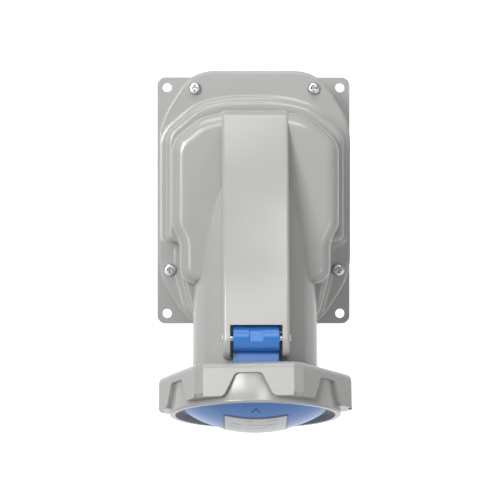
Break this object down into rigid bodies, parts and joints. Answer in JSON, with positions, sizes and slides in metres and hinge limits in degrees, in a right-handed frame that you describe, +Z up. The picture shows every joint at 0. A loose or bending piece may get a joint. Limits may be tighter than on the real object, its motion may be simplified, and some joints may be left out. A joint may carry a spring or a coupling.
{
  "type": "generator inlet box",
  "caption": "Angled wall inlet with a shrouded pin-and-sleeve connector, a sprung domed lid and a scooped bayonet locking ring.",
  "frame": {"origin": "centre of the four wall holes, on the back face that lies against the wall", "axes": "+X to the right seen from the front, +Y into the wall, +Z up; the shroud hangs down and leans forward"},
  "size_m": [0.1444, 0.1614, 0.2616],
  "materials": {
    "housing_grey": "fine-grained satin moulding",
    "ring_grey": "satin moulding, a little rubbed on the grips",
    "lid_blue": "satin blue moulding",
    "carrier_blue": "matt insulator",
    "seal_rubber": "matt",
    "screw_steel": "zinc plated",
    "pin_steel": "drawn stainless",
    "contact_brass": "turned, lightly tarnished",
    "label_white": "blank printed film"
  },
  "bodies": {
    "enclosure": {"back_box": "housing_grey", "hood": "housing_grey", "hood_gasket": "seal_rubber", "hood_screws": "screw_steel", "hinge_pin": "pin_steel", "hinge_spring": "pin_steel", "pin_carrier": "carrier_blue", "carrier_seal": "seal_rubber", "carrier_screws": "screw_steel", "pilot_pin": "contact_brass", "power_pin_1": "contact_brass", "power_pin_2": "contact_brass", "power_pin_3": "contact_brass", "earth_pin": "contact_brass", "terminal_clamp_1": "contact_brass", "terminal_clamp_2": "contact_brass", "terminal_clamp_3": "contact_brass", "terminal_clamp_4": "contact_brass", "terminal_screws": "screw_steel"},
    "lid": {"lid": "lid_blue", "lid_gasket": "seal_rubber", "rating_label": "label_white"},
    "ring": {"locking_ring": "ring_grey"}
  },
  "joints": [
    {"name": "lid_hinge", "type": "hinge", "parent": "enclosure", "child": "lid", "pos_m": [0, -0.14605, -0.0969], "axis": [-1, 0, 0], "range_deg": [0, 120], "stiffness_Nm_per_rad": 0.12, "springref_deg": -103.13, "deforming": ["hinge_spring"]},
    {"name": "ring_turn", "type": "hinge", "parent": "lid", "child": "ring", "pos_m": [0, -0.098, -0.1398], "axis": [0, 0.2419, 0.9703], "range_deg": [0, 28]}
  ]
}
